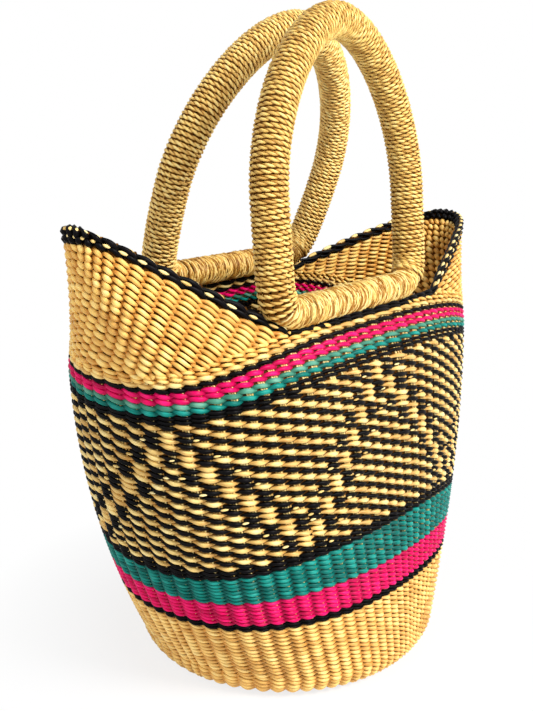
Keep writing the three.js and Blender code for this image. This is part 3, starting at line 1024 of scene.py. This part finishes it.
def arch_twining(handle, half_name, first, last, *nodes):
    """Twined straw round a stretch of the arch: its strands wind over stakes that lie side by side, dark as
    painted shade.
    """
    strands = Strands()
    middle_radius = wrap_radius - arch_float_reach - arch_strand_half_thickness
    step = 1 / arch_stitches_per_turn / arch_steps_per_stitch
    turns = np.arange(first / arch_pitch, last / arch_pitch, step)
    wander = arch_wander * np.sin(turns / arch_wander_turns * 2 * math.pi)
    stitches = turns * arch_stitches_per_turn + wander
    here, along, normal, side = handle.frames(turns * arch_pitch)
    around = turns * 2 * math.pi
    out = normal * np.cos(around)[:, None] + side * np.sin(around)[:, None]
    winding = side * np.cos(around)[:, None] - normal * np.sin(around)[:, None]
    pitch = arch_pitch + 0 * stitches
    twine(strands, stitches, (here + out * middle_radius, winding, along, out), pitch, rope_twining)
    here, along, normal, side = handle.frames(np.arange(first, last, arch_stake_step))
    for turn in np.arange(arch_stakes) / arch_stakes * 2 * math.pi:
        out = normal * math.cos(turn) + side * math.sin(turn)
        across = normal * math.sin(turn) - side * math.cos(turn)
        centres = here + out * middle_radius
        strands.tube(centres, across, out, arch_stake_half_width, arch_stake_half_depth, middle_tone, 1,
                     sides=stake_sides)
    strands.piece(f"{handle.name}_arch_twining_{half_name}", f"{handle.name}_handle",
                  [handle.straw, core_straw], *nodes)


def bound_turns(strands, handle, first, last):
    """Fine straws bound over a dark core, a painted shade, round a stretch of the handle, each a little
    askew.
    """
    edge = 2 * bound_half_width
    path = np.linspace(first + edge, last - edge, 2 + int((last - first) / arch_stake_step))
    here, along, normal, side = handle.frames(path)
    core = bound_radius - bound_core_inset
    # Painted shade: a dark core shows in the gaps between the bound straws
    strands.tube(here, normal, side, core, core, bound_core_shade_tone, sides=bound_core_sides)

    for layer in bound_layers:
        turns = layer["turns"]
        way = np.linspace(-1, 1, int(turns * bound_turn_steps))
        for distance in np.arange(first, last, layer["spacing"]):
            own_turns = turns * random.uniform(*bound_turn_shares)
            turn = way * math.pi * own_turns + random.uniform(0, 2 * math.pi)
            shift = random.choice((-1, 1)) * random.uniform(*bound_drift_shares) * layer["drift"]
            middle = distance + random.uniform(-0.5, 0.5) * layer["spacing"]
            at = np.clip(middle + way * shift / 2, first + edge, last - edge)
            here, along, normal, side = handle.frames(at)
            out = normal * np.cos(turn)[:, None] + side * np.sin(turn)[:, None]
            radius = bound_radius - layer["below"] + random.uniform(-1, 1) * bound_radius_spread
            wave = np.sin(turn * random.integers(*bound_waves) + random.uniform(0, 2 * math.pi))
            sunk = bound_tuck * np.abs(way) ** bound_tuck_power + bound_wave_depth * (1 + wave) / 2
            centres = here + out * (radius - sunk)[:, None]
            half_width = bound_half_width * random.uniform(*bound_width_shares)
            tone = random.uniform(*bound_tones)
            strands.tube(centres, along, out, half_width, bound_half_depth, tone)


def bar_binding(handle):
    strands = Strands()
    inner_end = lashing_offset - lashing_width / 2 - lashing_gap
    outer_start = lashing_offset + lashing_width / 2 + lashing_gap
    bound_turns(strands, handle, -inner_end, inner_end)
    bound_turns(strands, handle, outer_start, handle.binding_end)
    bound_turns(strands, handle, -handle.binding_end, -outer_start)
    strands.piece(f"{handle.name}_bar_straw", f"{handle.name}_handle", [handle.bound_straw],
                  f"{handle.name}_bar_binding")


def lashings(handle):
    for end_name, end in (("near", -1), ("far", 1)):
        strands = Strands()
        middle = end * lashing_offset
        bound_turns(strands, handle, middle - lashing_width / 2, middle + lashing_width / 2)
        strands.piece(f"{handle.name}_lashing_straw_{end_name}", "basket", [handle.bound_straw],
                      f"{handle.name}_lashing_{end_name}")


front = Handle("front", -1, front_handle_x, front_lean, front_bar_bed, front_arch_half_width,
               front_handle_straw, front_bound_straw)
rear = Handle("rear", 1, rear_handle_x, rear_lean, rear_bar_bed, rear_arch_half_width,
              rear_handle_straw, rear_bound_straw)
for handle in (front, rear):
    arch_top = handle.run[-1] / 2
    arch_twining(handle, "far", handle.wrap_start, arch_top, f"{handle.name}_arch_wrap")
    arch_twining(handle, "near", arch_top, handle.run[-1] - handle.wrap_start)
    bar_binding(handle)
    lashings(handle)
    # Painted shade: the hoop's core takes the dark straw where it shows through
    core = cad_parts[f"{handle.name}_hoop"]
    core.data.materials.clear()
    core.data.materials.append(core_straw)


# Camera, floor and light
def look():
    forward = Vector((
        -math.sin(look_turn) * math.cos(look_down),
        math.cos(look_turn) * math.cos(look_down),
        -math.sin(look_down)))
    right = Vector((math.cos(look_turn), math.sin(look_turn), 0))
    up = right.cross(forward)
    rolled_right = right * math.cos(camera_roll) + up * math.sin(camera_roll)
    rolled_up = up * math.cos(camera_roll) - right * math.sin(camera_roll)
    data = bpy.data.cameras.new("camera")
    data.sensor_width = camera_sensor
    data.lens = camera_lens
    camera = bpy.data.objects.new("camera", data)
    rows = Matrix((rolled_right, rolled_up, -forward)).transposed().to_4x4()
    x = camera_distance * math.sin(camera_turn)
    y = -camera_distance * math.cos(camera_turn)
    camera.matrix_world = Matrix.Translation((x, y, camera_height)) @ rows
    bpy.context.scene.collection.objects.link(camera)
    bpy.context.scene.camera = camera


def background_rays(tree):
    """One for rays from the camera or from a glossy or clear surface, zero for all others."""
    rays = add_node(tree, "LightPath")
    found = rays.outputs["Is Camera Ray"]
    for other in ("Is Glossy Ray", "Is Transmission Ray"):
        either = add_node(tree, "Math")
        either.operation = "MAXIMUM"
        tree.links.new(found, either.inputs[0])
        tree.links.new(rays.outputs[other], either.inputs[1])
        found = either.outputs["Value"]
    return found


def white_floor():
    """A matt white floor that takes the basket's shadow and brightens to plain white away from it."""
    mesh = bpy.data.meshes.new("floor")
    half = floor_half_size
    corners = [(-half, -half, 0), (half, -half, 0), (half, half, 0), (-half, half, 0)]
    mesh.from_pydata(corners, [], [(0, 1, 2, 3)])
    floor = bpy.data.objects.new("floor", mesh)
    bpy.context.scene.collection.objects.link(floor)
    material = bpy.data.materials.new("floor")
    material.use_nodes = True
    tree = material.node_tree
    shader = tree.nodes["Principled BSDF"]
    shader.inputs["Base Color"].default_value = (floor_white, floor_white, floor_white, 1)
    shader.inputs["Roughness"].default_value = floor_roughness
    shader.inputs["Specular IOR Level"].default_value = 0
    glow = add_node(tree, "Emission")
    blend = add_node(tree, "MixShader")
    place = add_node(tree, "TexCoord")
    reach = add_node(tree, "VectorMath")
    reach.operation = "LENGTH"
    fade = add_node(tree, "MapRange", {
        "From Min": shadow_reach,
        "From Max": shadow_end,
        "To Min": shadow_glow_share,
    })
    seen = add_node(tree, "Math")
    seen.operation = "MULTIPLY"
    output = tree.nodes["Material Output"]
    tree.links.new(place.outputs["Object"], reach.inputs[0])
    tree.links.new(reach.outputs["Value"], fade.inputs["Value"])
    tree.links.new(fade.outputs["Result"], seen.inputs[0])
    tree.links.new(background_rays(tree), seen.inputs[1])
    tree.links.new(seen.outputs["Value"], blend.inputs["Fac"])
    tree.links.new(shader.outputs["BSDF"], blend.inputs[1])
    tree.links.new(glow.outputs["Emission"], blend.inputs[2])
    tree.links.new(blend.outputs["Shader"], output.inputs["Surface"])
    mesh.materials.append(material)


def area_light(name, place, size, power):
    data = bpy.data.lights.new(name, "AREA")
    data.shape = "DISK"
    data.size = size
    data.energy = power
    lamp = bpy.data.objects.new(name, data)
    aim = Vector((0, 0, light_aim_height)) - Vector(place)
    lamp.matrix_world = Matrix.Translation(place) @ aim.to_track_quat("-Z", "Y").to_matrix().to_4x4()
    bpy.context.scene.collection.objects.link(lamp)


def soft_world():
    """Even light from all round, seen as plain white behind the basket."""
    world = bpy.data.worlds.new("world")
    bpy.context.scene.world = world
    world.use_nodes = True
    tree = world.node_tree
    backdrop = tree.nodes["Background"]
    backdrop.inputs["Color"].default_value = (1, 1, 1, 1)
    backdrop.inputs["Strength"].default_value = world_strength
    white = add_node(tree, "Background", {"Color": (1, 1, 1, 1), "Strength": 1})
    blend = add_node(tree, "MixShader")
    tree.links.new(background_rays(tree), blend.inputs["Fac"])
    tree.links.new(backdrop.outputs["Background"], blend.inputs[1])
    tree.links.new(white.outputs["Background"], blend.inputs[2])
    tree.links.new(blend.outputs["Shader"], tree.nodes["World Output"].inputs["Surface"])


look()
white_floor()
soft_world()
area_light("key", key_place, key_size, key_power)
area_light("fill", fill_place, fill_size, fill_power)
bpy.context.scene.view_settings.view_transform = "Standard"
